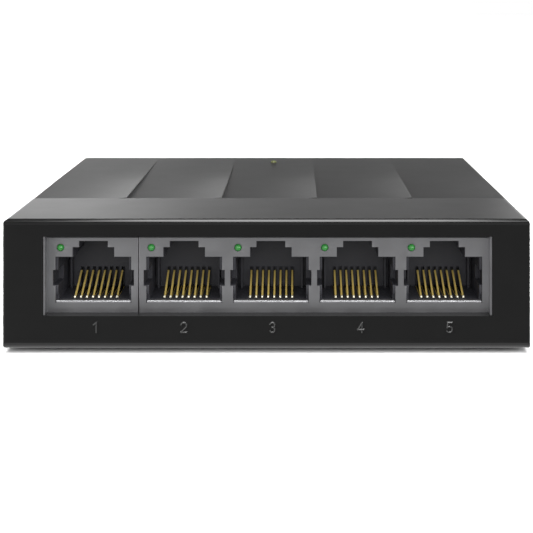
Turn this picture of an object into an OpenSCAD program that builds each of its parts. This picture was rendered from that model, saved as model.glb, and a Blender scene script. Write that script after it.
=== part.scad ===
// Desktop network switch with five modular ports in a two-part plastic case.
// Millimetres. X runs to the right, Y to the back and Z up. The origin is on the ground
// under the centre of the case, and the ports face -Y.

/* [Case] */
// Width of the case
case_w = 90; // [90:1:100]
// Depth of the case
case_d = 72; // [72:1:84]
// Height from the ground to the top of the case
case_h = 23; // [23:0.5:27]
// Height of the gap that the rubber feet leave under the case
foot_lift = 0.7; // [0.5:0.1:0.9]
// Thickness of the side and back walls
wall_t = 1.8; // [1.6:0.1:1.8]
// Thickness of the front wall
front_t = 2.0; // [1.8:0.1:2]
// Thickness of the roof
roof_t = 2.0; // [1.6:0.1:2]
// Thickness of the bottom plate
plate_t = 1.8; // [1.6:0.1:1.8]

/* [Roof] */
// Depth of the smooth strip along the front of the roof
strip_d = 20.2; // [16:0.1:24]
// Number of sloping panels across the roof behind the strip
facet_count = 5; // [4:1:6]
// How far the lowest corner of each panel is sunk
facet_sink = 0.55; // [0.3:0.05:0.8]
// How sharply each panel rises towards its right edge
facet_curve = 2.4; // [1.5:0.1:3]
// Width of the groove between the strip and the panels
groove_w = 0.5; // [0.3:0.1:0.7]
// Depth of the groove
groove_t = 0.3; // [0.2:0.05:0.5]

/* [Ports] */
// Distance between neighbouring ports of the four-port jack
port_pitch = 14.95; // [14.9:0.05:15]
// Middle of the one-port jack
single_x = -29.9; // [-30.2:0.1:-29.9]
// Middle of the four-port jack
quad_x = 8.175; // [8.1:0.025:8.25]
// Distance between neighbouring contacts of a port
contact_pitch = 1.05; // [1.02:0.01:1.06]
// Angle of the resting contacts above the port's floor
contact_rise = 29.5; // [26:0.5:30]
// Height of the port numbers
digit_h = 1.82; // [1.4:0.02:2]
// Distance between neighbouring port numbers
digit_pitch = 15.1; // [14.9:0.05:15.2]

/* [Power] */
// Middle of the power jack
power_x = 24; // [22:1:26]
// Radius of the power jack's bore
power_bore_r = 3.2; // [3.15:0.05:3.25]
// Radius of the power jack's centre pin
power_pin_r = 1.0; // [1:0.05:1.25]
// Distance of the power light from the back of the case
light_back = 7.5; // [6:0.5:10]

/* [Fixings] */
// Distance between the two wall mount holes
keyhole_gap = 54; // [50:1:54]
// Radius of the wall mount holes where the screw head goes in
keyhole_r = 3.3; // [3:0.1:3.5]
// Radius of the rubber feet
foot_r = 4.5; // [4:0.1:4.5]

/* [Hidden] */

ARC_STEPS = 6;          // flats in each quarter round of the case's edges
FINE = 48;              // segments of ordinary round features
CUT = 1;                // how far a cutter stands proud of what it cuts
GAP = 0.15;             // free play between the two halves of the case
TOUCH = 0.05;           // play between pieces that nearly touch

half_w = case_w / 2;
half_d = case_d / 2;
inner_x = half_w - wall_t;
inner_front = -half_d + front_t;
inner_back = half_d - wall_t;
roof_z = case_h - roof_t;
plate_top = foot_lift + plate_t;

// Radii of the case's outer edges
upright_r = 0.35;
roof_side_r = 0.9;
roof_front_r = 0.85;
sill_r = 1.7;
under_r = 0.5;

// Strokes of the port numbers, in half heights of a number
pen_half = 0.2;
pen_top = 0.05;
pen_h = 0.16;
pen_root = 0.1;

// Roof panels
facet_front = -half_d + strip_d;
facet_w = case_w / facet_count;
facet_d = half_d - facet_front;
FACET_COLS = 9;
FACET_ROWS = 8;
facet_fade = 1.2;       // how quickly a panel levels out towards the back
facet_proud = 0.02;     // the panel surface leaves the roof cleanly at its right edge

// Board and what stands on it
board_t = 1.6;
board_z = 4.7;
board_top = board_z + board_t;
board_x = half_w - 2.7;
board_front = inner_front + 1.4;
board_back = inner_back - 0.8;
tail_z = board_z - 1.4;

// Front window
window_x = [-38.2, 38.55];
window_z = [6.55, 20.07];

// Jacks
port_x = [single_x, for (i = [0:3]) quad_x + (i - 1.5) * port_pitch];
shield_t = 0.3;
shield_front = inner_front + 0.1;
shield_back = shield_front + 16;
shield_z = [board_top + TOUCH, 19.7];
shield_bend_r = 0.42;
shield_end_r = 0.3;
shield_joint_r = 0.15;
shield_rim_front = -half_d + 0.25;
jack_joint_x = -22.1;
single_span = [window_x[0], jack_joint_x - TOUCH];
quad_span = [jack_joint_x + TOUCH, window_x[1]];
housing_front = shield_front + shield_t + TOUCH;
housing_back = shield_back - shield_t - TOUCH;
port_floor = 8.63;
port_roof = 16.0;
port_half = 6.1;
opening_half = 6.54;
lip_half = opening_half - 0.15;
lip_d = 0.9;
comb_y = shield_front + 9.6;
comb_slot_top = 12.1;
rail_x = 5.4;
rail_w = 0.35;
rail_d = 1.6;
peg_y = shield_front + 6.4;
peg_r = 1.55;

// Contacts: a flat spring wire bent round at the front
wire_w = 0.32;
wire_t = 0.2;
slot_w = 0.58;
bend_y = shield_front + 2.7;
bend_z = 8.35;
knuckle_r = 0.2;
curl_r = knuckle_r + 0.06;
finger_l = 6.75;
tail_rows = [shield_back - 2.9, shield_back - 1.3];

// Port lights
port_light_dx = -5.67;
port_light_z = 17.73;
port_light_r = 0.6;
port_light_back = shield_front + 3.4;

// Power jack
power_w = 9;
power_h = 11;
power_back = half_d - 0.4;
power_front = power_back - 14;
power_z = board_top + 6.5;
power_depth = 9.5;
power_root_r = power_pin_r + 0.3;
leaf_w = 2.2;
leaf_t = 0.3;
leaf_hinge_y = power_back - 8.4;
leaf_hinge_z = power_z - 3.95;
leaf_knuckle_r = 0.3;
leaf_l = 6.2;
leaf_rise = 13.5;

// Power light
light_y = half_d - light_back;
pipe_r = 0.7;
pipe_dome_h = 0.4;

// Screws, feet and wall mount holes
screw_x = 38.8;
screw_ys = [-3, 18];
screw_well_r = 2.8;
screw_well_top = plate_top + 0.7;
post_r = 3.6;
boss_r = 2.6;
board_screw_at = [[-30, 27], [34, 10]];
foot_x = 37;
foot_y = 28.5;
foot_recess = 0.5;
keyhole_y = 2;
keyhole_slot_r = 1.7;
keyhole_slot_l = 6;
label_size = [38, 24];
label_y = 6;

CASE = [0.12, 0.12, 0.125];
METAL = [0.62, 0.62, 0.64];
INSERT = [0.08, 0.08, 0.09];
GOLD = [0.83, 0.68, 0.32];
TIN = [0.75, 0.75, 0.77];
CHIP = [0.07, 0.07, 0.08];

// ---------- shapes that repeat ----------

function corner(x, y, r, a) =
    [for (i = [0:ARC_STEPS]) [x + r * cos(a + 90 * i / ARC_STEPS), y + r * sin(a + 90 * i / ARC_STEPS)]];

// Outline from p to q with corner radii r, anticlockwise from the corner at p.
function round_rect(p, q, r) = concat(
    corner(p[0] + r[0], p[1] + r[0], r[0], 180),
    corner(q[0] - r[1], p[1] + r[1], r[1], 270),
    corner(q[0] - r[2], q[1] - r[2], r[2], 0),
    corner(p[0] + r[3], q[1] - r[3], r[3], 90));

// Box from corner p to corner q.
module box(p, q) {
    translate(p) cube(q - p);
}

// An outline drawn in Y and Z, stretched along X from x0 to x1.
module along_x(x0, x1) {
    translate([x0, 0, 0]) rotate([90, 0, 90]) linear_extrude(x1 - x0) children();
}

// An outline drawn in X and Z, stretched along Y from y0 to y1.
module along_y(y0, y1) {
    translate([0, y1, 0]) rotate([90, 0, 0]) linear_extrude(y1 - y0) children();
}

// A round rod along Y.
module rod_y(x, z, r, y0, y1) {
    translate([x, y1, z]) rotate([90, 0, 0]) cylinder(r = r, h = y1 - y0, $fn = FINE);
}

// A round rod along X.
module rod_x(y, z, r, x0, x1) {
    translate([x0, y, z]) rotate([0, 90, 0]) cylinder(r = r, h = x1 - x0, $fn = FINE);
}

module post(at, r, z0, z1) {
    translate([at[0], at[1], z0]) cylinder(r = r, h = z1 - z0, $fn = FINE);
}

module at_screws() {
    for (x = [-screw_x, screw_x], y = screw_ys) translate([x, y, 0]) children();
}

// ---------- case ----------

module case_block() {
    intersection() {
        translate([0, 0, foot_lift]) linear_extrude(case_h - foot_lift)
            polygon(round_rect([-half_w, -half_d], [half_w, half_d], [1, 1, 1, 1] * upright_r));
        along_x(-half_w - CUT, half_w + CUT)
            polygon(round_rect([-half_d, foot_lift], [half_d, case_h],
                [sill_r, under_r, roof_front_r, roof_front_r]));
        along_y(-half_d - CUT, half_d + CUT)
            polygon(round_rect([-half_w, foot_lift], [half_w, case_h],
                [under_r, under_r, roof_side_r, roof_side_r]));
    }
}

// Height of a roof panel's surface over the roof, u from its left edge to its right edge and
// v from front to back: sunk at the front left corner, level at the right and at the back.
function facet_height(u, v) =
    facet_sink * pow(1 - v, facet_fade) * (pow(max(u, 0), facet_curve) - 1) + facet_proud;

// Cutter that leaves one roof panel; u0 below 0 lets it run out past the case's side.
module facet_cutter(x, u0) {
    row = FACET_COLS + 1;
    layer = row * (FACET_ROWS + 1);
    function u_at(i) = u0 + (0.997 - u0) * i / FACET_COLS;
    function under(i, j) = j * row + i;
    function over(i, j) = layer + under(i, j);
    surface = [for (j = [0:FACET_ROWS], i = [0:FACET_COLS])
        [x + facet_w * u_at(i), facet_front + facet_d * j / FACET_ROWS,
         case_h + facet_height(u_at(i), j / FACET_ROWS)]];
    lid = [for (p = surface) [p[0], p[1], case_h + CUT]];
    cells = [for (j = [0:FACET_ROWS - 1], i = [0:FACET_COLS - 1]) [i, j]];
    polyhedron(points = concat(surface, lid), faces = concat(
        [for (c = cells) [under(c[0], c[1]), under(c[0] + 1, c[1]), under(c[0] + 1, c[1] + 1)]],
        [for (c = cells) [under(c[0], c[1]), under(c[0] + 1, c[1] + 1), under(c[0], c[1] + 1)]],
        [for (c = cells) [over(c[0], c[1]), over(c[0], c[1] + 1), over(c[0] + 1, c[1] + 1),
            over(c[0] + 1, c[1])]],
        [for (i = [0:FACET_COLS - 1]) [under(i, 0), over(i, 0), over(i + 1, 0), under(i + 1, 0)]],
        [for (i = [0:FACET_COLS - 1]) [under(i, FACET_ROWS), under(i + 1, FACET_ROWS),
            over(i + 1, FACET_ROWS), over(i, FACET_ROWS)]],
        [for (j = [0:FACET_ROWS - 1]) [under(0, j), under(0, j + 1), over(0, j + 1), over(0, j)]],
        [for (j = [0:FACET_ROWS - 1]) [under(FACET_COLS, j), over(FACET_COLS, j),
            over(FACET_COLS, j + 1), under(FACET_COLS, j + 1)]]));
}

module side_vents() {
    vent = [1.5, 9];
    for (i = [0:8])
        box([-half_w - CUT, -16 + 4 * i, 8.2], [half_w + CUT, -16 + 4 * i + vent[0], 8.2 + vent[1]]);
}

// A raised pen stroke through points, with sloping sides and ends.
module stroke(points) {
    last = len(points) - 1;
    function along(i) = let (d = points[min(i + 1, last)] - points[max(i - 1, 0)]) d / norm(d);
    function ends(i) = i == 0 ? -1 : i == last ? 1 : 0;
    function edge(i, half, side, y) = let (d = along(i),
        p = points[i] + half * ends(i) * d + half * side * [-d[1], d[0]]) [p[0], y, p[1]];
    rings = [for (i = [0:last]) each [edge(i, pen_half, 1, pen_root), edge(i, pen_half, 1, 0),
        edge(i, pen_top, 1, -pen_h), edge(i, pen_top, -1, -pen_h),
        edge(i, pen_half, -1, 0), edge(i, pen_half, -1, pen_root)]];
    sides = [for (i = [0:last - 1], k = [0:5]) each let (a = 6 * i, b = a + 6, n = (k + 1) % 6)
        [[a + k, b + k, b + n], [a + k, b + n, a + n]]];
    polyhedron(points = rings, faces = concat(sides,
        [for (k = [1:4]) [0, k, k + 1]],
        [for (k = [1:4]) [6 * last, 6 * last + k + 1, 6 * last + k]]));
}

module pen(a, b) {
    stroke([a, b]);
}

module pen_arc(c, r, a0, a1) {
    steps = 10;
    stroke([for (i = [0:steps]) let (a = a0 + (a1 - a0) * i / steps) c + r * [cos(a), sin(a)]]);
}

// The number n, drawn about its own centre at a height of 2.
module digit(n) {
    if (n == 1) {
        pen([0.2, -0.9], [0.2, 0.9]);
        pen([-0.3, 0.5], [0.2, 0.9]);
    }
    if (n == 2) {
        pen_arc([0, 0.38], 0.52, 165, -40);
        pen([0.4, 0.05], [-0.5, -0.9]);
        pen([-0.5, -0.9], [0.52, -0.9]);
    }
    if (n == 3) {
        pen_arc([0, 0.46], 0.44, 160, -90);
        pen_arc([0, -0.44], 0.46, 90, -160);
    }
    if (n == 4) {
        pen([0.2, -0.9], [0.2, 0.9]);
        pen([0.2, 0.9], [-0.52, -0.4]);
        pen([-0.52, -0.4], [0.5, -0.4]);
    }
    if (n == 5) {
        pen([-0.3, 0.9], [0.42, 0.9]);
        pen([-0.3, 0.9], [-0.4, 0]);
        pen_arc([-0.02, -0.36], 0.53, 140, -150);
    }
}

// Raised port numbers under the window.
module port_numbers() {
    middle = [1, -half_d, 4.59];
    for (i = [0:4]) translate(middle + [(i - 2) * digit_pitch, 0, 0])
        scale(digit_h / 2) digit(i + 1);
}

module top_cover() {
    color(CASE) {
        difference() {
            union() {
                difference() {
                    case_block();
                    box([-inner_x, inner_front, foot_lift - CUT], [inner_x, inner_back, roof_z]);
                }
                at_screws() post([0, 0], boss_r, board_top + TOUCH, roof_z + CUT);
                post([0, light_y], 1.8, 16, roof_z + CUT);
            }
            box([window_x[0], -half_d - CUT, window_z[0]], [window_x[1], inner_front + CUT, window_z[1]]);
            box([-half_w - CUT, facet_front - groove_w, case_h - groove_t],
                [half_w + CUT, facet_front, case_h + CUT]);
            for (i = [0:facet_count - 1])
                facet_cutter(-half_w + i * facet_w, i == 0 ? -0.05 : 0.003);
            side_vents();
            box([power_x - power_w / 2 - GAP, inner_back - CUT, board_top - GAP],
                [power_x + power_w / 2 + GAP, half_d + CUT, board_top + power_h + GAP]);
            at_screws() post([0, 0], 1.35, board_top - CUT, 15.5);
            post([0, light_y], pipe_r + TOUCH, 15, case_h + CUT);
        }
        port_numbers();
    }
}

module keyhole() {
    post([0, 0], keyhole_r, foot_lift - CUT, plate_top + CUT);
    post([0, keyhole_slot_l], keyhole_slot_r, foot_lift - CUT, plate_top + CUT);
    box([-keyhole_slot_r, 0, foot_lift - CUT], [keyhole_slot_r, keyhole_slot_l, plate_top + CUT]);
}

module bottom_vents() {
    for (y = [-28, 21.5], i = [-5:5])
        box([4 * i - 0.75, y, foot_lift - CUT], [4 * i + 0.75, y + 9, plate_top + CUT]);
}

module bottom_cover() {
    x = inner_x - GAP;
    y0 = inner_front + GAP;
    y1 = inner_back - GAP;
    lip_t = 1.2;
    lip_top = board_z - 0.3;
    color(CASE) difference() {
        union() {
            box([-x, y0, foot_lift], [x, y1, plate_top]);
            difference() {
                box([-x, y0, foot_lift], [x, y1, lip_top]);
                box([-x + lip_t, y0 + lip_t, foot_lift - CUT], [x - lip_t, y1 - lip_t, lip_top + CUT]);
            }
            at_screws() post([0, 0], post_r, plate_top - CUT, board_z);
            for (p = board_screw_at) post(p, 2.5, plate_top - CUT, board_z);
        }
        at_screws() {
            post([0, 0], screw_well_r, foot_lift - CUT, screw_well_top);
            post([0, 0], 1.5, foot_lift, board_z + CUT);
        }
        for (p = board_screw_at) post(p, 1.05, foot_lift + 1, board_z + CUT);
        for (x = [-foot_x, foot_x], y = [-foot_y, foot_y])
            post([x, y], foot_r + TOUCH, foot_lift - CUT, foot_lift + foot_recess);
        for (s = [-1, 1]) translate([s * keyhole_gap / 2, keyhole_y, 0]) keyhole();
        bottom_vents();
        translate([0, label_y, 0])
            box([-label_size[0] / 2 - GAP, -label_size[1] / 2 - GAP, foot_lift - CUT],
                [label_size[0] / 2 + GAP, label_size[1] / 2 + GAP, foot_lift + 0.25]);
    }
}

module blank_label() {
    label_t = 0.15;
    color([0.85, 0.85, 0.85]) translate([0, label_y, foot_lift + 0.25 - label_t]) linear_extrude(label_t)
        polygon(round_rect(-label_size / 2, label_size / 2, [1, 1, 1, 1] * 1.2));
}

// A pad with a turned edge at the ground.
module rubber_feet() {
    edge = 0.3;
    height = foot_lift + foot_recess;
    color([0.05, 0.05, 0.05])
        for (x = [-foot_x, foot_x], y = [-foot_y, foot_y]) translate([x, y, 0])
            rotate_extrude($fn = FINE)
                polygon([[0, 0], [foot_r - edge, 0], [foot_r, edge], [foot_r, height], [0, height]]);
}

// Cross recess of a screw whose head faces -Z at z = 0.
module cross_recess(size) {
    for (a = [0, 90]) rotate(a) translate([-size / 2, -size / 8, -CUT]) cube([size, size / 4, CUT + 0.8]);
}

module case_screws() {
    head_z = screw_well_top - 1.7;
    color(TIN) at_screws() difference() {
        union() {
            post([0, 0], 2.4, head_z, screw_well_top);
            post([0, 0], 1.3, screw_well_top - CUT, 14);
        }
        translate([0, 0, head_z]) cross_recess(2.6);
    }
}

// ---------- board ----------

module circuit_board() {
    color([0.05, 0.28, 0.14]) difference() {
        translate([0, 0, board_z]) linear_extrude(board_t)
            polygon(round_rect([-board_x, board_front], [board_x, board_back], [1, 1, 1, 1] * 1.5));
        at_screws() post([0, 0], 1.7, board_z - CUT, board_top + CUT);
        for (p = board_screw_at) post(p, 1.3, board_z - CUT, board_top + CUT);
        for (x = port_x, i = [0:7])
            post([x + contact_x(i), tail_rows[i % 2]], 0.4, board_z - CUT, board_top + CUT);
        for (x = port_x, s = [-1, 1])
            post([x + port_light_dx + s * 0.55, housing_back - 0.5], 0.35, board_z - CUT, board_top + CUT);
        for (x = concat(peg_x(single_span), peg_x(quad_span)))
            post([x, peg_y], peg_r + 0.1, board_z - CUT, board_top + CUT);
        for (x = concat(single_span, quad_span))
            box([x - 0.6, leg_y - 0.2, board_z - CUT], [x + 0.6, leg_y + leg_w + 0.2, board_top + CUT]);
        for (p = power_tails()) post(p, 1.35, board_z - CUT, board_top + CUT);
    }
}

module board_screws() {
    color(TIN) for (p = board_screw_at) difference() {
        union() {
            post(p, 2, board_top, board_top + 1.3);
            post(p, 1, board_z - 2, board_top + 0.5);
        }
        translate([p[0], p[1], board_top + 1.3]) mirror([0, 0, 1]) cross_recess(2.2);
    }
}

// ---------- modular jacks ----------

function contact_x(i) = (i - 3.5) * contact_pitch;
function peg_x(span) = [span[0] + 2.4, span[1] - 2.4];
leg_y = shield_front + 9;
leg_w = 1.2;

// Front outline of one port's opening in the metal shield: the plug's body, a notch at each
// side, and the two steps of the keyway for the plug's latch. The last port has no right notch.
module shield_opening(right_notch) {
    translate([-opening_half, port_floor - shield_bend_r])
        square([2 * opening_half, 7.55 + shield_bend_r]);
    translate([-7.0, 11.13]) square([right_notch ? 14.0 : 7.0 + opening_half, 2.76]);
    translate([-3.6, port_floor]) square([7.2, 9.19]);
    translate([-2.5, port_floor]) square([5.0, 10.26]);
}

// Lip along the bottom of an opening, where the sheet is folded inwards.
module opening_lip() {
    at = [shield_front + shield_bend_r, port_floor - shield_bend_r];
    inside = corner(at[0], at[1], shield_bend_r - shield_t, 90);
    along_x(-lip_half, lip_half) polygon(concat(
        [[shield_front + lip_d, port_floor]],
        corner(at[0], at[1], shield_bend_r, 90),
        [[shield_front, at[1] - shield_t], [shield_front + shield_t, at[1] - shield_t]],
        [for (i = [ARC_STEPS:-1:0]) inside[i]],
        [[shield_front + lip_d, port_floor - shield_t]]));
}

// Folded sheet box, open underneath; r holds the bend radii of its left and right front edges.
module shield_box(span, r) {
    difference() {
        intersection() {
            translate([0, 0, shield_z[0]]) linear_extrude(shield_z[1] - shield_z[0])
                polygon(round_rect([span[0], shield_front], [span[1], shield_back],
                    [r[0], r[1], shield_joint_r, shield_joint_r]));
            along_x(span[0] - CUT, span[1] + CUT)
                polygon(round_rect([shield_front, shield_z[0] - CUT], [shield_back, shield_z[1]],
                    [shield_joint_r, shield_joint_r, shield_bend_r, shield_bend_r]));
        }
        box([span[0] + shield_t, shield_front + shield_t, shield_z[0] - CUT],
            [span[1] - shield_t, shield_back - shield_t, shield_z[1] - shield_t]);
    }
}

// Rim along one side of the window, where the shield's side wall carries on through the case.
module shield_rim(x) {
    box([x, shield_rim_front, window_z[0] + TOUCH],
        [x + shield_t, shield_front + shield_t, window_z[1] - TOUCH]);
}

module jack_shield(span, ports, r) {
    color(METAL) {
        difference() {
            union() {
                shield_box(span, r);
                for (x = [span[0], span[1] - shield_t])
                    box([x, leg_y, tail_z], [x + shield_t, leg_y + leg_w, shield_z[0] + CUT]);
                if (span[0] == window_x[0]) shield_rim(span[0] + TOUCH);
                if (span[1] == window_x[1]) shield_rim(span[1] - TOUCH - shield_t);
            }
            for (x = ports) {
                translate([x, 0, 0]) along_y(shield_front - CUT, shield_front + shield_t + TOUCH / 2)
                    shield_opening(x < max(port_x));
                rod_y(x + port_light_dx, port_light_z, port_light_r + TOUCH, shield_front - CUT,
                    shield_front + shield_t + TOUCH / 2);
            }
        }
        for (x = ports) translate([x, 0, 0]) opening_lip();
    }
}

// Space for one port inside its plastic housing.
module port_space() {
    difference() {
        box([-port_half, housing_front - CUT, port_floor], [port_half, comb_y, port_roof]);
        for (s = [-1, 1])
            box([s * rail_x - rail_w / 2, comb_y - rail_d, port_floor - CUT],
                [s * rail_x + rail_w / 2, comb_y + CUT, port_roof + CUT]);
    }
    box([-6.95, housing_front - CUT, 11.2], [6.95, housing_front + 4.5, 13.82]);
    box([-lip_half - TOUCH, housing_front - CUT, port_floor - shield_bend_r],
        [lip_half + TOUCH, shield_front + lip_d + TOUCH, port_floor + CUT]);
    box([-3.5, housing_front - CUT, port_floor], [3.5, comb_y, 17.75]);
    box([-2.4, housing_front - CUT, port_floor], [2.4, comb_y, 18.82]);
    for (i = [0:7]) translate([contact_x(i), 0, 0]) {
        box([-slot_w / 2, bend_y - 0.75, 7.75], [slot_w / 2, comb_y + 1.5, comb_slot_top]);
        box([-slot_w / 2, comb_y, 7.75], [slot_w / 2, housing_back + CUT, 8.25]);
        box([-slot_w / 2, tail_rows[0] - 0.4, board_top - CUT], [slot_w / 2, housing_back + CUT, 8.25]);
    }
    rod_y(port_light_dx, port_light_z, port_light_r + TOUCH, housing_front - CUT, port_light_back);
    box([port_light_dx - 0.9, port_light_back - CUT, port_light_z - 0.35],
        [port_light_dx + 0.9, housing_back + CUT, port_light_z + 0.35]);
    box([port_light_dx - 0.9, housing_back - 0.9, board_top - CUT],
        [port_light_dx + 0.9, housing_back + CUT, port_light_z + 0.35]);
}

module jack_housing(span, ports) {
    side = shield_t + TOUCH;
    color(INSERT) difference() {
        union() {
            box([span[0] + side, housing_front, board_top],
                [span[1] - side, housing_back, shield_z[1] - side]);
            for (x = peg_x(span)) post([x, peg_y], peg_r, tail_z, board_top + CUT);
        }
        for (x = ports) translate([x, 0, 0]) port_space();
    }
}

// The part of a contact that stays still: the curl round the bend, the run under the port's
// floor and the tail through the board.
module contact_terminal(tail_y) {
    run_z = bend_z - curl_r - wire_t;
    along_x(-wire_w / 2, wire_w / 2) {
        difference() {
            translate([bend_y, bend_z]) circle(r = curl_r + wire_t, $fn = FINE);
            translate([bend_y, bend_z]) circle(r = curl_r, $fn = FINE);
            translate([bend_y, bend_z - CUT]) square([CUT, 2 * CUT]);
        }
        translate([bend_y - 0.01, run_z]) square([tail_y - bend_y + wire_t / 2, wire_t]);
        translate([tail_y - wire_t / 2, tail_z]) square([wire_t, run_z + wire_t - tail_z]);
    }
}

module jack_terminals(ports) {
    color(GOLD) for (x = ports, i = [0:7])
        translate([x + contact_x(i), 0, 0]) contact_terminal(tail_rows[i % 2]);
}

// The springy part of a contact, which a plug presses down about the bend.
module contact_finger() {
    rod_x(bend_y, bend_z, knuckle_r, -wire_w / 2, wire_w / 2);
    translate([-wire_w / 2, bend_y, bend_z]) rotate([contact_rise, 0, 0])
        translate([0, 0, -wire_t / 2]) cube([wire_w, finger_l, wire_t]);
}

module port_contacts(n) {
    color(GOLD) for (i = [0:7])
        translate([port_x[n - 1] + contact_x(i), 0, 0]) contact_finger();
}

module port_light_lenses() {
    color([0.2, 0.65, 0.25]) for (x = port_x) {
        rod_y(x + port_light_dx, port_light_z, port_light_r, shield_front + 0.1, port_light_back);
        translate([x + port_light_dx, shield_front + 0.1, port_light_z]) sphere(r = port_light_r, $fn = FINE);
    }
}

// Two leads behind each lens, which turn down to the board at the back of the housing.
module port_light_leads() {
    lead = 0.35;
    y1 = housing_back - 0.3;
    color(TIN) for (x = port_x, s = [-0.55, 0.55]) translate([x + port_light_dx + s - lead / 2, 0, 0]) {
        box([0, port_light_back + TOUCH, port_light_z - lead / 2], [lead, y1, port_light_z + lead / 2]);
        box([0, y1 - lead, tail_z], [lead, y1, port_light_z + lead / 2]);
    }
}

module single_jack_shield() {
    jack_shield(single_span, [port_x[0]], [shield_end_r, shield_joint_r]);
}

module quad_jack_shield() {
    jack_shield(quad_span, [for (i = [1:4]) port_x[i]], [shield_joint_r, shield_end_r]);
}

module single_jack_housing() { jack_housing(single_span, [port_x[0]]); }
module quad_jack_housing() { jack_housing(quad_span, [for (i = [1:4]) port_x[i]]); }
module single_jack_terminals() { jack_terminals([port_x[0]]); }
module quad_jack_terminals() { jack_terminals([for (i = [1:4]) port_x[i]]); }
module port_1_contacts() { port_contacts(1); }
module port_2_contacts() { port_contacts(2); }
module port_3_contacts() { port_contacts(3); }
module port_4_contacts() { port_contacts(4); }
module port_5_contacts() { port_contacts(5); }

// ---------- power jack and light ----------

function power_tails() = [[power_x, power_front + 0.9], [power_x, power_front + 4.6],
    [power_x + power_w / 2 - 0.5, power_front + 3]];

module power_jack_body() {
    color(INSERT) difference() {
        box([power_x - power_w / 2, power_front, board_top],
            [power_x + power_w / 2, power_back, board_top + power_h]);
        rod_y(power_x, power_z, power_bore_r, power_back - power_depth, power_back + CUT);
        rod_y(power_x, power_z, power_root_r, power_front - CUT, power_back);
        // pocket for the side spring
        box([power_x - leaf_w / 2 - 0.2, leaf_hinge_y - 0.9, leaf_hinge_z - 0.9],
            [power_x + leaf_w / 2 + 0.2, power_back - 1.2, power_z - power_bore_r + 0.6]);
        // channel for the centre pin's tail
        box([power_x - 1.2, power_front - CUT, board_top - CUT],
            [power_x + 1.2, power_front + 1.2, power_z + 1.2]);
        // channel for the spring's tail
        box([power_x - 1.1, power_front + 4.3, board_top - CUT],
            [power_x + 1.1, power_front + 4.9, leaf_hinge_z]);
        box([power_x - 1.1, power_front + 4.3, leaf_hinge_z - 0.5],
            [power_x + 1.1, leaf_hinge_y, leaf_hinge_z]);
        // channel for the switch contact
        box([power_x + power_w / 2 - 0.8, power_front + 2, board_top - CUT],
            [power_x + power_w / 2 + CUT, power_front + 4, power_z]);
    }
}

module power_jack_pin() {
    tip_y = power_back - 0.8 - power_pin_r;
    color(TIN) {
        rod_y(power_x, power_z, power_pin_r, power_front + 0.6, tip_y);
        rod_y(power_x, power_z, power_root_r, power_front + 0.6, power_back - power_depth + 0.2);
        translate([power_x, tip_y, power_z]) sphere(r = power_pin_r, $fn = FINE);
        box([power_x - 1, power_front + 0.3, tail_z], [power_x + 1, power_front + 0.7, power_z + 1]);
    }
}

// Leaf that rubs on the outside of the plug's barrel. It turns about a knuckle near the
// closed end of the bore.
module power_jack_spring() {
    color(GOLD) {
        rod_x(leaf_hinge_y, leaf_hinge_z, leaf_knuckle_r, power_x - leaf_w / 2, power_x + leaf_w / 2);
        translate([power_x - leaf_w / 2, leaf_hinge_y, leaf_hinge_z]) rotate([leaf_rise, 0, 0])
            translate([0, 0, -leaf_t / 2]) cube([leaf_w, leaf_l, leaf_t]);
    }
}

module power_jack_terminals() {
    color(TIN) {
        box([power_x - 1, power_front + 4.4, tail_z], [power_x + 1, power_front + 4.8, leaf_hinge_z - 0.1]);
        box([power_x - 1, power_front + 4.4, leaf_hinge_z - 0.4],
            [power_x + 1, leaf_hinge_y - leaf_knuckle_r - 0.1, leaf_hinge_z - 0.1]);
        box([power_x + power_w / 2 - 0.7, power_front + 2.1, tail_z],
            [power_x + power_w / 2 - 0.3, power_front + 3.9, power_z - 0.2]);
    }
}

// Light pipe from the power light up to the roof, where it ends in a low dome.
module power_light_pipe() {
    dome_r = (pipe_r * pipe_r + pipe_dome_h * pipe_dome_h) / (2 * pipe_dome_h);
    color([0.45, 0.5, 0.25]) {
        post([0, light_y], pipe_r, 7.6, case_h);
        intersection() {
            post([0, light_y], pipe_r - TOUCH, case_h - CUT, case_h + CUT);
            translate([0, light_y, case_h + pipe_dome_h - dome_r]) sphere(r = dome_r, $fn = FINE);
        }
        post([0, light_y], 1.3, 7.6, 8.4);
        post([0, light_y], 1.3, 15, 15.9);
    }
}

module power_light() {
    color([0.9, 0.9, 0.75]) translate([0, light_y, 0]) {
        box([-1, -0.6, board_top], [1, 0.6, board_top + 0.5]);
        post([0, 0], 0.5, board_top, board_top + 0.8);
    }
}

// ---------- electronics ----------

// A moulded body with rows of bent legs along its two long sides.
module leaded_chip(size, legs, leg_pitch, leg_w, reach) {
    color(CHIP) {
        translate([-size[0] / 2, -size[1] / 2, board_top + 0.1]) cube([size[0], size[1], size[2] - 0.1]);
        for (i = [0:legs - 1], s = [-1, 1]) {
            x = (i - (legs - 1) / 2) * leg_pitch - leg_w / 2;
            box([x, s > 0 ? size[1] / 2 - 0.2 : -size[1] / 2 - reach, board_top],
                [x + leg_w, s > 0 ? size[1] / 2 + reach : -size[1] / 2 + 0.2, board_top + 0.35]);
        }
    }
}

CHIP_AT = [-4, 8];
CHIP_H = 1.5;
PAD_T = 0.5;

module switch_chip() {
    side = 14;
    legs = 24;
    leg_pitch = 0.5;
    reach = 1;
    translate(CHIP_AT) for (a = [0, 90]) rotate(a)
        leaded_chip([side, side, CHIP_H], legs, leg_pitch, 0.24, reach);
}

module thermal_pad() {
    color([0.75, 0.75, 0.8]) translate([CHIP_AT[0] - 6.5, CHIP_AT[1] - 6.5, board_top + CHIP_H])
        cube([13, 13, PAD_T]);
}

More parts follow.
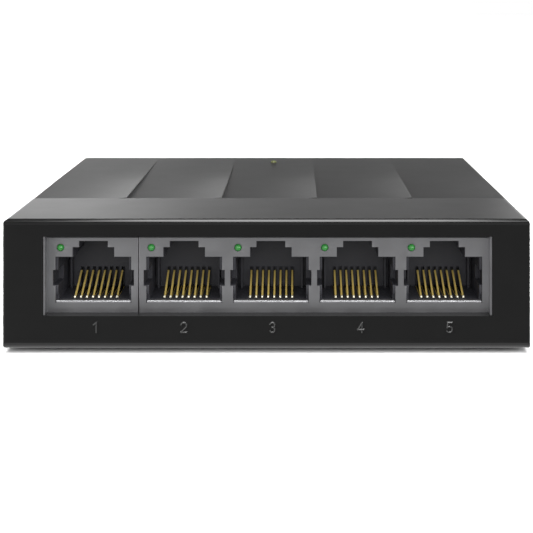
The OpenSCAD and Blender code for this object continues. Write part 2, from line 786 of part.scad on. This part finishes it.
module heat_sink() {
    side = 14;
    base = 1.5;
    fin_t = 0.8;
    fins = 7;
    z = board_top + CHIP_H + PAD_T;
    color(METAL) translate([CHIP_AT[0], CHIP_AT[1], z]) {
        box([-side / 2, -side / 2, 0], [side / 2, side / 2, base]);
        for (i = [0:fins - 1]) {
            x = -side / 2 + i * (side - fin_t) / (fins - 1);
            box([x, -side / 2, base / 2], [x + fin_t, side / 2, 7]);
        }
    }
}

module network_transformers() {
    for (x = port_x) translate([x, -11.2, 0]) leaded_chip([12.4, 7.6, 5.6], 8, 1.27, 0.5, 0.8);
}

// Metal can with rounded ends.
module crystal() {
    can = [10.6, 4.4];
    color(TIN) translate([-19, 4, board_top]) {
        linear_extrude(0.6) polygon(round_rect(-can / 2, can / 2, [1, 1, 1, 1] * 2.1));
        translate([0, 0, 0.5]) linear_extrude(3)
            polygon(round_rect(-(can - [1, 1]) / 2, (can - [1, 1]) / 2, [1, 1, 1, 1] * 1.6));
    }
}

module memory_chip() { translate([-19, 13, 0]) leaded_chip([5, 4, 1.6], 4, 1.27, 0.4, 1); }

module regulator_chip() { translate([12, 4, 0]) leaded_chip([5, 4, 1.6], 4, 1.27, 0.4, 1); }

module power_inductor() {
    color([0.2, 0.2, 0.21]) translate([13, 14, board_top]) {
        linear_extrude(1) polygon(round_rect([-3.6, -3.6], [3.6, 3.6], [1, 1, 1, 1]));
        post([0, 0], 3.3, 0.5, 4);
    }
}

module electrolytic_capacitors() {
    can_r = 3.1;
    can_h = 7.6;
    for (x = [20, 27.5]) translate([x, 4, board_top]) color(TIN) difference() {
        union() {
            linear_extrude(1.2) polygon(round_rect([-3.3, -3.3], [3.3, 3.3], [0.3, 0.3, 0.3, 0.3]));
            rotate_extrude($fn = FINE) polygon([[0, 0.5], [can_r, 0.5], [can_r, 1.8], [can_r - 0.3, 2.1],
                [can_r, 2.4], [can_r, can_h - 0.3], [can_r - 0.3, can_h], [0, can_h]]);
        }
        for (a = [45, 135]) rotate(a) translate([-2, -0.1, can_h - 0.15]) cube([4, 0.2, 1]);
    }
}

module diode() { translate([21, 13, 0]) leaded_chip([4.2, 2.6, 2.2], 1, 1, 1.4, 0.6); }

module fuse() {
    color([0.35, 0.5, 0.35]) translate([14, 24, board_top]) box([-2.2, -1.6, 0], [2.2, 1.6, 0.9]);
}

module chip_resistors() {
    color(CHIP) for (x = port_x, i = [-1.5:1.5])
        translate([x + 2.2 * i, -4.6, board_top]) box([-0.4, -0.8, 0], [0.4, 0.8, 0.45]);
}

module chip_capacitors() {
    color([0.6, 0.48, 0.35]) for (i = [0:5], y = [-1.4, 17.4])
        translate([CHIP_AT[0] + (i - 2.5) * 2.4, y, board_top]) box([-0.8, -0.4, 0], [0.8, 0.4, 0.8]);
}

top_cover();
bottom_cover();
rubber_feet();
case_screws();
blank_label();
circuit_board();
board_screws();
single_jack_shield();
single_jack_housing();
quad_jack_shield();
quad_jack_housing();
single_jack_terminals();
quad_jack_terminals();
port_1_contacts();
port_2_contacts();
port_3_contacts();
port_4_contacts();
port_5_contacts();
port_light_lenses();
port_light_leads();
power_jack_body();
power_jack_pin();
power_jack_spring();
power_jack_terminals();
power_light_pipe();
power_light();
switch_chip();
thermal_pad();
heat_sink();
network_transformers();
crystal();
memory_chip();
regulator_chip();
power_inductor();
electrolytic_capacitors();
diode();
fuse();
chip_resistors();
chip_capacitors();
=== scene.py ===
import math

import bpy
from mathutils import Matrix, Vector


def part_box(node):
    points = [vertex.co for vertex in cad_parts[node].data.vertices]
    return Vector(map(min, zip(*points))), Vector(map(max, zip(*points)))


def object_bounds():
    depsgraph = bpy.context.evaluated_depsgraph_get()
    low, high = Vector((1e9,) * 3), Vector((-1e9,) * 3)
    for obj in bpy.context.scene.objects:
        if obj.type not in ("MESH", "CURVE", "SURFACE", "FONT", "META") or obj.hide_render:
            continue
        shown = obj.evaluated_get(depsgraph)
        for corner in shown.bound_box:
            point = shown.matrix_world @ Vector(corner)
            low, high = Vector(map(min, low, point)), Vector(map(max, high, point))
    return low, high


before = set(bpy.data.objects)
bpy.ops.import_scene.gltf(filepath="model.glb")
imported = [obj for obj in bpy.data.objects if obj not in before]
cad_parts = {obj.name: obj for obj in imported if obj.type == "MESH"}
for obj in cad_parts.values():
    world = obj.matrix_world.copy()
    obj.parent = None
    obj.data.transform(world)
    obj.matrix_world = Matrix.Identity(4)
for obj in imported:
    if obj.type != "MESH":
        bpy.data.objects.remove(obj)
cad_low, cad_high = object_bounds()

MM = 0.001

# Landmarks of the object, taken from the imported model.
PORT_COUNT = 5
CASE_LOW, CASE_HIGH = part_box("top_cover")
BOARD_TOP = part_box("circuit_board")[1].z
CONTACT_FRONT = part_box("port_1_contacts")[0].y

# The roof: the case's front lies as far from the origin as its back, and only the raised port
# numbers stand in front of it.
CASE_FRONT = -CASE_HIGH.y
STRIP_BACK = CASE_FRONT + 20.2 * MM     # back edge of the smooth strip
FRONT_EDGE_R = 0.85 * MM                # radius of the roof's front edge
PANELS = 5                              # sloping panels behind the strip
LEAN = 0.06                             # lean of a panel's shading at its right front corner
LEAN_POWER = 2.0                        # how late the lean sets in towards the right
LEAN_FADE = (0.15, 0.7)                 # where along the panel's depth it starts and stops fading

# The camera stands level in front of the object and sees it through a shifted lens.
SENSOR = 36.0
CAMERA_X = 4.77 * MM
CAMERA_OVER_ROOF = 38.15 * MM
CAMERA_TO_FRONT = 186.6 * MM
PICTURE_W = 90.87 * MM       # width of the picture in the plane of the front wall
PICTURE_MID_Z = 15.0 * MM
AT_HOME = 0.5 * MM           # the camera counts as moved when it is further away than this


# ---------- shader graphs ----------

# Places of the sockets of a Mix node, for plain numbers and for colours.
NUMBER_A = 2
NUMBER_B = 3
COLOR_A = 6
COLOR_B = 7
COLOR_RESULT = 2

# Places of the coordinates in what Graph.place() returns.
Y = 1
Z = 2

NOISE_RANGE = (0.3, 0.7)     # most of a noise's values lie between these


class Graph:
    """A node tree with short calls for the nodes that the materials share."""

    def __init__(self, tree):
        self.tree = tree
        tree.nodes.clear()

    def add(self, kind, inputs=None, **settings):
        node = self.tree.nodes.new(kind)
        for name, value in settings.items():
            setattr(node, name, value)
        for name, value in (inputs or {}).items():
            self.feed(node.inputs[name], value)
        return node

    def feed(self, socket, value):
        if isinstance(value, bpy.types.NodeSocket):
            self.tree.links.new(value, socket)
        else:
            socket.default_value = value

    def math(self, operation, a, b=0.0, clamp=False):
        node = self.add("ShaderNodeMath", {0: a, 1: b}, operation=operation, use_clamp=clamp)
        return node.outputs[0]

    def times(self, a, b):
        return self.math("MULTIPLY", a, b)

    def blend(self, factor, a, b):
        """The number a where factor is 0, and b where it is 1."""
        node = self.add("ShaderNodeMix", {0: factor, NUMBER_A: a, NUMBER_B: b},
                        data_type="FLOAT")
        return node.outputs[0]

    def ramp(self, value, low, high, to_low=0.0, to_high=1.0, smooth=True):
        """value from low to high becomes to_low to to_high, and stays there outside."""
        node = self.add("ShaderNodeMapRange", {"Value": value, "From Min": low, "From Max": high,
                                               "To Min": to_low, "To Max": to_high},
                        interpolation_type="SMOOTHSTEP" if smooth else "LINEAR", clamp=True)
        return node.outputs["Result"]

    def vary(self, noise, low, high):
        """A number that follows a noise from low to high."""
        return self.ramp(noise, *NOISE_RANGE, low, high)

    def mix(self, factor, a, b):
        """The colour a where factor is 0, and b where it is 1."""
        node = self.add("ShaderNodeMix", {0: factor, COLOR_A: a, COLOR_B: b}, data_type="RGBA")
        return node.outputs[COLOR_RESULT]

    def place(self):
        """The point being shaded, in metres in the object's frame, as x, y and z."""
        split = self.add("ShaderNodeSeparateXYZ",
                         {0: self.add("ShaderNodeTexCoord").outputs["Object"]})
        return split.outputs

    def noise(self, size, detail=2.0, stretch=(1, 1, 1)):
        """Noise whose features are about size metres across, finer along a stretched axis."""
        point = self.add("ShaderNodeTexCoord").outputs["Object"]
        scaled = self.add("ShaderNodeMapping", {"Vector": point, "Scale": stretch}).outputs[0]
        return self.add("ShaderNodeTexNoise", {"Vector": scaled, "Scale": 1 / size,
                                               "Detail": detail}).outputs["Fac"]

    def bump(self, height, distance, strength=1.0, normal=None):
        inputs = {"Height": height, "Distance": distance, "Strength": strength}
        if normal is not None:
            inputs["Normal"] = normal
        return self.add("ShaderNodeBump", inputs).outputs[0]


def grey(level, tint=(1, 1, 1)):
    return (level * tint[0], level * tint[1], level * tint[2], 1)


def surface(name, **inputs):
    """A new material; build(graph) may return further inputs of its main shader."""
    material = bpy.data.materials.new(name)
    material.use_nodes = True
    graph = Graph(material.node_tree)
    shader = graph.add("ShaderNodeBsdfPrincipled")
    graph.add("ShaderNodeOutputMaterial", {"Surface": shader.outputs[0]})
    build = inputs.pop("build", None)
    if build:
        inputs.update(build(graph))
    for key, value in inputs.items():
        graph.feed(shader.inputs[key.replace("_", " ")], value)
    return material


# ---------- materials ----------

# Where the look of the case changes: heights at which the walls turn into the roof and the polish
# of its front edge sets in, depths at which that polish ends and the strip ends, and where the
# faces of the numbers lie.
WALL_TO_ROOF = (CASE_HIGH.z - 1.2 * MM, CASE_HIGH.z - 0.7 * MM)
POLISH_LOW = (CASE_HIGH.z - 1.0 * MM, CASE_HIGH.z - 0.9 * MM)
POLISH_BACK = (CASE_FRONT + FRONT_EDGE_R, CASE_FRONT + FRONT_EDGE_R + 0.05 * MM)
STRIP_TO_PANEL = (STRIP_BACK - 0.3 * MM, STRIP_BACK - 0.1 * MM)
NUMBER_FACE = (CASE_FRONT - 0.13 * MM, CASE_FRONT - 0.08 * MM)

# The case: its shades of black and its roughness, from one side of its blotches to the other.
WALL_BLACK = (0.005, 0.007)
PANEL_BLACK = (0.013, 0.016)
# Painted highlight: the lighter grey given to the raised faces of the port numbers.
NUMBER_PAINTED_HIGHLIGHT = 0.065
WALL_ROUGH = (0.30, 0.33)
STRIP_ROUGH = (0.29, 0.31)
PANEL_ROUGH = (0.35, 0.362)
EDGE_POLISH = 0.2            # how much smoother the roof's front edge is
STRIP_COAT = 0.65


def case_plastic():
    """Black plastic: satin walls, a glossier strip on the roof with a polished front edge, duller
    roof panels, and port numbers whose raised faces are painted a lighter grey as a highlight."""

    def build(graph):
        x, y, z = graph.place()
        roof = graph.ramp(z, *WALL_TO_ROOF)
        strip = graph.times(roof, graph.ramp(y, *STRIP_TO_PANEL, 1, 0))
        panel = graph.math("SUBTRACT", roof, strip)
        edge = graph.times(graph.ramp(z, *POLISH_LOW), graph.ramp(y, *POLISH_BACK, 1, 0))
        number = graph.ramp(y, *NUMBER_FACE, 1, 0)
        mottle = graph.noise(6 * MM, 4)
        wall_black, panel_black = [graph.mix(mottle, grey(dark), grey(light))
                                   for dark, light in (WALL_BLACK, PANEL_BLACK)]
        black = graph.mix(panel, wall_black, panel_black)
        coated = graph.math("SUBTRACT", strip, edge, clamp=True)
        # The faces of the numbers get a painted highlight, a lighter grey than the black case.
        return {"Base Color": graph.mix(number, black, grey(NUMBER_PAINTED_HIGHLIGHT)),
                "Roughness": case_roughness(graph, mottle, strip, panel, edge),
                "Coat Weight": graph.times(coated, STRIP_COAT),
                "Normal": case_grain(graph, graph.times(panel, panel_lean(graph, x, y)))}

    return surface("case_plastic", build=build, Coat_Roughness=0.26)


def case_roughness(graph, mottle, strip, panel, edge):
    """Each part of the case is a little blotchy round its own roughness."""
    rough = graph.vary(mottle, *WALL_ROUGH)
    rough = graph.blend(strip, rough, graph.vary(mottle, *STRIP_ROUGH))
    rough = graph.blend(panel, rough, graph.vary(mottle, *PANEL_ROUGH))
    return graph.math("SUBTRACT", rough, graph.times(edge, EDGE_POLISH))


def case_grain(graph, lean):
    """The surface's normal, leaned back by an amount, with the fine grain of moulded plastic."""
    normal = graph.add("ShaderNodeNewGeometry").outputs["Normal"]
    back = graph.add("ShaderNodeCombineXYZ", {"Y": lean}).outputs[0]
    leaned = graph.add("ShaderNodeVectorMath", {0: normal, 1: back}, operation="ADD").outputs[0]
    leaned = graph.add("ShaderNodeVectorMath", {0: leaned}, operation="NORMALIZE").outputs[0]
    return graph.bump(graph.noise(0.12 * MM), 0.004 * MM, 0.25, leaned)


def panel_lean(graph, x, y):
    """How far the shading of a roof panel leans back: most at its right edge near the strip."""
    width = (CASE_HIGH.x - CASE_LOW.x) / PANELS
    along = graph.math("DIVIDE", graph.math("SUBTRACT", x, CASE_LOW.x), width)
    across = graph.math("POWER", graph.math("FRACT", along), LEAN_POWER)
    depth = CASE_HIGH.y - STRIP_BACK
    fade_start, fade_end = [STRIP_BACK + part * depth for part in LEAN_FADE]
    fade = graph.ramp(y, fade_start, fade_end, 1, 0)
    return graph.times(graph.times(across, fade), LEAN)


def foot_rubber():
    """Matt rubber with a pebbled skin."""

    def build(graph):
        return {"Base Color": graph.mix(graph.noise(0.8 * MM), grey(0.012), grey(0.03)),
                "Normal": graph.bump(graph.noise(0.15 * MM), 0.02 * MM, 0.5)}

    return surface("foot_rubber", build=build, Roughness=0.85)


METAL_WEAR = 0.12       # how much duller the worn patches are


def brushed_metal(name, level, tint, rough, stretch):
    """Metal with fine lines along one direction and a few duller patches."""

    def build(graph):
        lines = graph.noise(0.2 * MM, 3, stretch)
        patches = graph.noise(3 * MM, 3)
        return {"Base Color": graph.mix(lines, grey(level * 0.88, tint), grey(level, tint)),
                "Roughness": graph.ramp(patches, 0.35, 0.7, rough, rough + METAL_WEAR),
                "Normal": graph.bump(lines, 0.003 * MM, 0.4)}

    return surface(name, build=build, Metallic=1.0)


def housing_plastic():
    """Dark glass-filled plastic with faint flow marks."""

    def build(graph):
        flow = graph.noise(1.2 * MM, 4, (3, 1, 1))
        dark = grey(0.022, (0.95, 0.97, 1.15))
        light = grey(0.030, (0.98, 0.97, 1.15))
        return {"Base Color": graph.mix(flow, dark, light),
                "Roughness": graph.vary(flow, 0.38, 0.52),
                "Normal": graph.bump(graph.noise(0.1 * MM), 0.004 * MM, 0.3)}

    return surface("housing_plastic", build=build, Specular_IOR_Level=0.25)


def contact_gold():
    """Gold over nickel: spring wire with fine drawing lines, painted paler at the front bend as a
    highlight.
    """

    def build(graph):
        y = graph.place()[Y]
        # Painted highlight: the front bend of each contact is painted a paler gold.
        bend_highlight = graph.ramp(y, CONTACT_FRONT + 0.1 * MM, CONTACT_FRONT + 0.5 * MM, 1, 0)
        draw = graph.noise(0.5 * MM, 2, (1, 0.2, 0.2))
        gold = graph.mix(draw, (0.74, 0.53, 0.13, 1), (0.92, 0.70, 0.22, 1))
        return {"Base Color": graph.mix(bend_highlight, gold, (0.95, 0.90, 0.72, 1)),
                "Roughness": graph.vary(draw, 0.3, 0.4)}

    return surface("contact_gold", build=build, Metallic=0.55)


def tinted_lens(name, deep, pale):
    """Cloudy tinted plastic that lets light wander a little below its skin."""

    def build(graph):
        cloud = graph.noise(0.4 * MM, 2)
        return {"Base Color": graph.mix(cloud, deep, pale)}

    return surface(name, build=build, Roughness=0.3, IOR=1.5, Subsurface_Weight=0.3,
                   Subsurface_Scale=0.15 * MM)


def board_laminate():
    """Green solder mask, raised and paler over a grid of copper tracks."""

    def build(graph):
        tracks = graph.add("ShaderNodeTexBrick", {
            "Vector": graph.add("ShaderNodeTexCoord").outputs["Object"], "Scale": 260.0,
            "Mortar Size": 0.035, "Mortar Smooth": 0.2}).outputs["Fac"]
        weave = graph.noise(0.5 * MM, 2)
        mask = graph.mix(weave, (0.010, 0.085, 0.030, 1), (0.014, 0.11, 0.040, 1))
        return {"Base Color": graph.mix(tracks, mask, (0.03, 0.17, 0.06, 1)),
                "Normal": graph.bump(tracks, 0.03 * MM, 0.6)}

    return surface("board_laminate", build=build, Roughness=0.32, Coat_Weight=0.4)


def label_film():
    """Blank pale film with a faint paper fibre."""

    def build(graph):
        fibre = graph.noise(0.3 * MM, 5)
        return {"Base Color": graph.mix(fibre, grey(0.60), grey(0.70)),
                "Normal": graph.bump(fibre, 0.01 * MM, 0.3)}

    return surface("label_film", build=build, Roughness=0.5)


LEG_LOW = BOARD_TOP + 0.02 * MM
LEG_HIGH = BOARD_TOP + 0.36 * MM


def leaded_part(name, body, rough):
    """A moulded part whose legs, in a band close to the board, are tinned metal."""

    def build(graph):
        z = graph.place()[Z]
        leg = graph.times(graph.ramp(z, LEG_LOW, LEG_LOW + 0.03 * MM),
                          graph.ramp(z, LEG_HIGH - 0.02 * MM, LEG_HIGH, 1, 0))
        grain = graph.noise(0.25 * MM, 3)
        resin = graph.mix(grain, grey(body), grey(body * 1.6))
        return {"Base Color": graph.mix(leg, resin, grey(0.6)), "Metallic": leg,
                "Roughness": graph.vary(grain, rough, rough + 0.12),
                "Normal": graph.bump(grain, 0.01 * MM, 0.3)}

    return surface(name, build=build)


def grained(name, low, high, rough):
    """A fine-grained material between two colours, a little uneven to the touch."""

    def build(graph):
        spots = graph.noise(0.3 * MM, 3)
        return {"Base Color": graph.mix(spots, low, high),
                "Roughness": graph.vary(spots, rough, rough + 0.15),
                "Normal": graph.bump(spots, 0.01 * MM, 0.4)}

    return surface(name, build=build)


def tin_ended(name, body, middle, half_body):
    """Chips that lie along Y, in one row: pale metal further than half_body from the middle."""

    def build(graph):
        off_middle = graph.math("ABSOLUTE", graph.math("SUBTRACT", graph.place()[Y], middle))
        end = graph.ramp(off_middle, half_body, half_body + 0.05 * MM)
        return {"Base Color": graph.mix(end, body, grey(0.65)), "Metallic": end,
                "Normal": graph.bump(graph.noise(0.2 * MM), 0.01 * MM, 0.4)}

    return surface(name, build=build, Roughness=0.4)


def dress():
    """Gives every CAD node its material."""
    tin = brushed_metal("tinned_metal", 0.72, (1, 1, 1.01), 0.3, (1, 6, 1))
    gold = contact_gold()
    housing = housing_plastic()
    case = case_plastic()
    steel = brushed_metal("screw_steel", 0.55, (1, 1, 1.02), 0.28, (4, 1, 1))
    shield = brushed_metal("shield_metal", 0.50, (0.99, 0.99, 1.02), 0.42, (1, 1, 5))
    chip = leaded_part("chip_resin", 0.016, 0.45)
    resistor_low, resistor_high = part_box("chip_resistors")
    resistor_middle = (resistor_low.y + resistor_high.y) / 2
    looks = {
        "top_cover": case, "bottom_cover": case, "rubber_feet": foot_rubber(),
        "case_screws": steel, "board_screws": steel, "blank_label": label_film(),
        "circuit_board": board_laminate(),
        "single_jack_shield": shield, "quad_jack_shield": shield,
        "single_jack_housing": housing, "quad_jack_housing": housing,
        "power_jack_body": housing, "single_jack_terminals": gold,
        "quad_jack_terminals": gold, "power_jack_spring": gold,
        "port_light_lenses": tinted_lens("green_lens", (0.025, 0.18, 0.03, 1),
                                         (0.035, 0.23, 0.045, 1)),
        "power_light_pipe": tinted_lens("olive_lens", (0.10, 0.11, 0.03, 1),
                                        (0.16, 0.17, 0.05, 1)),
        "port_light_leads": tin, "power_jack_pin": tin, "power_jack_terminals": tin,
        "power_light": tinted_lens("led_resin", (0.7, 0.7, 0.5, 1), (0.8, 0.8, 0.6, 1)),
        "switch_chip": chip, "memory_chip": chip, "regulator_chip": chip, "diode": chip,
        "network_transformers": leaded_part("transformer_resin", 0.02, 0.4),
        "thermal_pad": grained("pad_silicone", grey(0.35, (1, 1.02, 1.08)), grey(0.42), 0.7),
        "heat_sink": brushed_metal("sink_aluminium", 0.6, (1, 1, 1.02), 0.35, (6, 1, 1)),
        "crystal": brushed_metal("crystal_can", 0.65, (1, 1, 1), 0.22, (4, 4, 1)),
        "electrolytic_capacitors": brushed_metal("can_aluminium", 0.7, (1, 1, 1.02), 0.3,
                                                 (1, 1, 6)),
        "power_inductor": grained("ferrite", grey(0.05), grey(0.1), 0.55),
        "fuse": grained("fuse_resin", (0.04, 0.16, 0.05, 1), (0.06, 0.2, 0.07, 1), 0.4),
        "chip_resistors": tin_ended("chip_resistor", grey(0.02), resistor_middle, 0.5 * MM),
        "chip_capacitors": grained("ceramic", (0.30, 0.20, 0.12, 1), (0.36, 0.25, 0.15, 1), 0.4),
    }
    for n in range(PORT_COUNT):
        looks[f"port_{n + 1}_contacts"] = gold
    for name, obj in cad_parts.items():
        obj.data.materials.clear()
        obj.data.materials.append(looks[name])


# ---------- crisp edges ----------

# Width of the bevel in millimetres, where it isn't FINE_EDGE.
EDGE_WIDTH = {
    "bottom_cover": 0.12, "single_jack_shield": 0.06, "quad_jack_shield": 0.06,
    "single_jack_housing": 0.06, "quad_jack_housing": 0.06, "power_jack_body": 0.15,
    "circuit_board": 0.06, "network_transformers": 0.08, "switch_chip": 0.05,
    "heat_sink": 0.08, "case_screws": 0.08,
}
FINE_EDGE = 0.04
SHARP_ANGLE = math.radians(30)
FLAT_ANGLE = math.radians(0.15)
SAME_POINT = 0.0005 * MM
AS_MODELLED = ["top_cover", "port_light_lenses", "power_jack_pin", "blank_label"]


def soften(name, obj):
    """Rounds a piece's sharp edges with a fine bevel, so that they catch the light."""
    if name in AS_MODELLED:
        return
    for polygon in obj.data.polygons:
        polygon.use_smooth = True
    obj.modifiers.new("weld", "WELD").merge_threshold = SAME_POINT
    flat = obj.modifiers.new("flat", "DECIMATE")
    flat.decimate_type = "DISSOLVE"
    flat.angle_limit = FLAT_ANGLE
    bevel = obj.modifiers.new("bevel", "BEVEL")
    bevel.width = EDGE_WIDTH.get(name, FINE_EDGE) * MM
    bevel.segments = 2
    bevel.limit_method = "ANGLE"
    bevel.angle_limit = SHARP_ANGLE
    obj.modifiers.new("triangles", "TRIANGULATE").keep_custom_normals = False
    obj.modifiers.new("normals", "WEIGHTED_NORMAL").keep_sharp = True


# ---------- studio ----------

FLOOR_SIZE = 6.0


def floor():
    """A plain pale floor that is seen only from above and keeps its light to itself."""
    bpy.ops.mesh.primitive_plane_add(size=FLOOR_SIZE, location=(0, 0, cad_low.z))
    plane = bpy.context.object
    plane.name = "floor"

    def build(graph):
        underside = graph.add("ShaderNodeNewGeometry").outputs["Backfacing"]
        return {"Base Color": graph.mix(graph.noise(0.3, 2), grey(0.86), grey(0.88)),
                "Alpha": graph.math("SUBTRACT", 1.0, underside)}

    plane.data.materials.append(surface("floor_paper", build=build, Roughness=0.9))
    plane.visible_glossy = False
    plane.visible_diffuse = False
    plane.visible_shadow = False


# Softboxes and cards round the object: the azimuths and elevations between which each one
# stands, in degrees, and how bright it is. Azimuth 0 is straight behind the object.
STUDIO = {
    "backdrop foot, left": (-60, -3, -3, 6, 2.6),
    "backdrop foot, middle": (-3, 10, -3, 6, 1.6),
    "left card": (-17, -8, 6, 14, 0.8),
    "right card": (13, 60, 6, 16, 2.2),
    "upper backdrop": (-60, 60, 16, 80, 0.2),
    "overhead softbox": (-180, 180, 80, 90, 8.5),
    "overhead softbox, front": (90, 270, 62, 80, 8.5),
    "ceiling, front": (90, 270, 45, 62, 0.1),
    "left wall": (-150, -60, -3, 45, 0.9),
    "right wall": (60, 150, -3, 45, 1.3),
    "left floor": (-150, -60, -48, -3, 0.8),
    "right floor": (60, 150, -48, -3, 0.3),
    "back floor": (-60, 60, -48, -3, 0.7),
    "front wall": (150, 210, 0, 20, 0.6),
    "front wall, upper": (150, 210, 20, 45, 0.1),
    "front floor, far": (150, 210, -26, -10, 0.33),
    "front floor, near": (150, 210, -48, -26, 0.3),
    "floor below": (-180, 180, -90, -48, 0.95),
}
AZIMUTH_EDGE = 3        # how far the cards fade out past their sides, in degrees
ELEVATION_EDGE = 1.5    # and past their lower and upper edges


def span(graph, angle, low, high, edge):
    """1 between two angles in degrees, with soft ends that reach edge degrees past them."""
    if high - low == 360:
        return 1.0
    rise = graph.ramp(angle, math.radians(low - edge), math.radians(low + edge), smooth=False)
    fall = graph.ramp(angle, math.radians(high - edge), math.radians(high + edge), 1, 0,
                      smooth=False)
    return graph.math("MINIMUM", rise, fall)


def sky():
    """The studio as the surfaces see it; the camera itself sees plain white."""
    world = bpy.data.worlds.new("studio")
    bpy.context.scene.world = world
    world.use_nodes = True
    graph = Graph(world.node_tree)
    direction = graph.add("ShaderNodeTexCoord").outputs["Generated"]
    x, y, z = graph.add("ShaderNodeSeparateXYZ", {0: direction}).outputs
    azimuth = graph.math("ARCTAN2", x, y)
    full_circle = {0: azimuth, 1: 0.0, 2: 2 * math.pi}
    round_the_front = graph.add("ShaderNodeMath", full_circle, operation="WRAP").outputs[0]
    elevation = graph.math("ARCSINE", z)
    level = 0.0
    for left, right, bottom, top, brightness in STUDIO.values():
        around = round_the_front if right > 180 else azimuth
        card = graph.times(span(graph, around, left, right, AZIMUTH_EDGE),
                           span(graph, elevation, bottom, top, ELEVATION_EDGE))
        level = graph.math("ADD", level, graph.times(card, brightness))
    seen = graph.add("ShaderNodeLightPath").outputs["Is Camera Ray"]
    background = graph.add("ShaderNodeBackground", {
        "Color": grey(1.0), "Strength": graph.math("MAXIMUM", level, seen)})
    graph.add("ShaderNodeOutputWorld", {"Surface": background.outputs[0]})


def new_light(name, kind, power, only):
    """A light that falls on some of the pieces only."""
    light = bpy.data.lights.new(name, kind)
    light.energy = power
    obj = bpy.data.objects.new(name, light)
    bpy.context.collection.objects.link(obj)
    lit = bpy.data.collections.new(name + "_lit")
    for piece in only:
        lit.objects.link(bpy.data.objects[piece])
    obj.light_linking.receiver_collection = lit
    return obj


def lamp(name, place, size, power, only):
    """A square softbox at a place, aimed at the object."""
    obj = new_light(name, "AREA", power, only)
    obj.data.size = size
    obj.location = place
    aim = (cad_low + cad_high) / 2 - Vector(place)
    obj.rotation_euler = aim.to_track_quat("-Z", "Y").to_euler()


def sun(name, away, turn, strength, spread, only):
    """Even light from away degrees off straight overhead: from the front where turn is 0, and
    from the left where it is -90."""
    obj = new_light(name, "SUN", strength, only)
    obj.data.angle = math.radians(spread)
    obj.rotation_euler = (math.radians(away), 0, math.radians(turn))
    obj.visible_glossy = False


def lamps():
    """Softboxes that reach the insides of the ports, and even light for the floor and for the
    sides of the raised numbers."""
    inside = [f"port_{n + 1}_contacts" for n in range(PORT_COUNT)]
    inside += ["single_jack_terminals", "quad_jack_terminals", "single_jack_housing",
               "quad_jack_housing", "port_light_lenses"]
    lamp("port_fill", (-0.02, -0.5, 0.22), size=0.6, power=2.8, only=inside)
    lamp("port_fill_right", (0.4, -0.4, 0.2), size=0.4, power=1.5, only=inside)
    sun("floor_light", away=35, turn=0, strength=4, spread=70, only=["floor"])
    sun("number_light", away=75, turn=-80, strength=6, spread=20, only=["top_cover"])


def camera():
    """Level with the ground, and square to the front wall."""
    data = bpy.data.cameras.new("camera")
    cam = bpy.data.objects.new("camera", data)
    bpy.context.collection.objects.link(cam)
    home = Vector((CAMERA_X, CASE_FRONT - CAMERA_TO_FRONT, CASE_HIGH.z + CAMERA_OVER_ROOF))
    cam.location = home
    cam.rotation_euler = (math.radians(90), 0, 0)
    data.sensor_width = SENSOR
    data.lens = SENSOR * CAMERA_TO_FRONT / PICTURE_W
    data.clip_start = 0.01
    shift_at_home(cam, "shift_x", -CAMERA_X / PICTURE_W, home)
    shift_at_home(cam, "shift_y", (PICTURE_MID_Z - home.z) / PICTURE_W, home)
    bpy.context.scene.camera = cam


def shift_at_home(cam, field, amount, home):
    """The lens is shifted only where the camera starts, so a view from elsewhere is centred."""
    driver = cam.data.driver_add(field).driver
    driver.type = "SCRIPTED"
    depth = driver.variables.new()
    depth.name = "depth"
    depth.type = "TRANSFORMS"
    depth.targets[0].id = cam
    depth.targets[0].transform_type = "LOC_Y"
    away = f"abs(depth - ({home.y:.6f}))"
    driver.expression = f"{amount:.6f} if {away} < {AT_HOME} else 0.0"


dress()
for node_name, node_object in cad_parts.items():
    soften(node_name, node_object)
floor()
sky()
lamps()
camera()
scene = bpy.context.scene
scene.view_settings.view_transform = "Standard"
